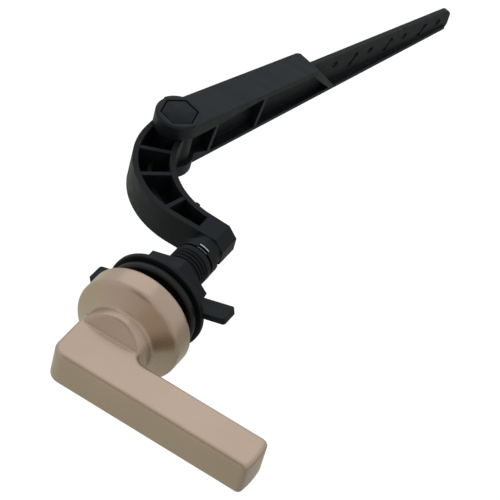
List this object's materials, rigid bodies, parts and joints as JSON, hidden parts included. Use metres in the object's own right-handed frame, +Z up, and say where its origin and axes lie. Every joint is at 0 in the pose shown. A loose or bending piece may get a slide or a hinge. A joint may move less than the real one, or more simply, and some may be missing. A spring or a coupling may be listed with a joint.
{
  "type": "cistern lever",
  "caption": "Cistern trip lever: satin metal handle on a threaded wall shank with gasket and winged lock nut, turning a curved crank and a pinned lift arm perforated for a chain.",
  "frame": {"origin": "on the spindle axis, in the plane of the handle hub's rear rim", "axes": "+X along the handle bar to its free end, +Y along the spindle into the cistern, +Z up"},
  "size_m": [0.1213, 0.2808, 0.043],
  "materials": {
    "satin_nickel": "satin champagne nickel on a zinc casting",
    "black_plastic": "fine matt moulding",
    "black_rubber": "smooth black rubber",
    "bright_steel": "bright spring steel",
    "spindle_brass": "drawn bar, unpolished"
  },
  "bodies": {
    "shank": {"threaded_shank": "black_plastic"},
    "lever": {"lever_handle": "satin_nickel", "spindle": "spindle_brass", "crank_arm": "black_plastic", "retaining_clip": "bright_steel", "lift_arm": "black_plastic"},
    "gasket": {"wall_gasket": "black_rubber"},
    "nut": {"lock_nut": "black_plastic"},
    "pin": {"hex_pin": "black_plastic"}
  },
  "joints": [
    {"name": "handle_turn", "type": "hinge", "parent": "shank", "child": "lever", "pos_m": [0, 0, 0], "axis": [0, 1, 0], "range_deg": [0, 38]},
    {"name": "gasket_slide", "type": "slide", "parent": "shank", "child": "gasket", "axis": [0, 1, 0], "range_m": [0, 0.009]},
    {"name": "nut_turn", "type": "hinge", "parent": "gasket", "child": "nut", "pos_m": [0, 0.0098, 0], "axis": [0, 1, 0], "range_deg": [-1870, 0]},
    {"name": "pin_pull", "type": "slide", "parent": "lever", "child": "pin", "axis": [0, 0, 1], "range_m": [0, 0.0265]}
  ],
  "couplings": [
    {"joint": "gasket_slide", "follows": "nut_turn", "m_per_rad": -0.00027534}
  ]
}
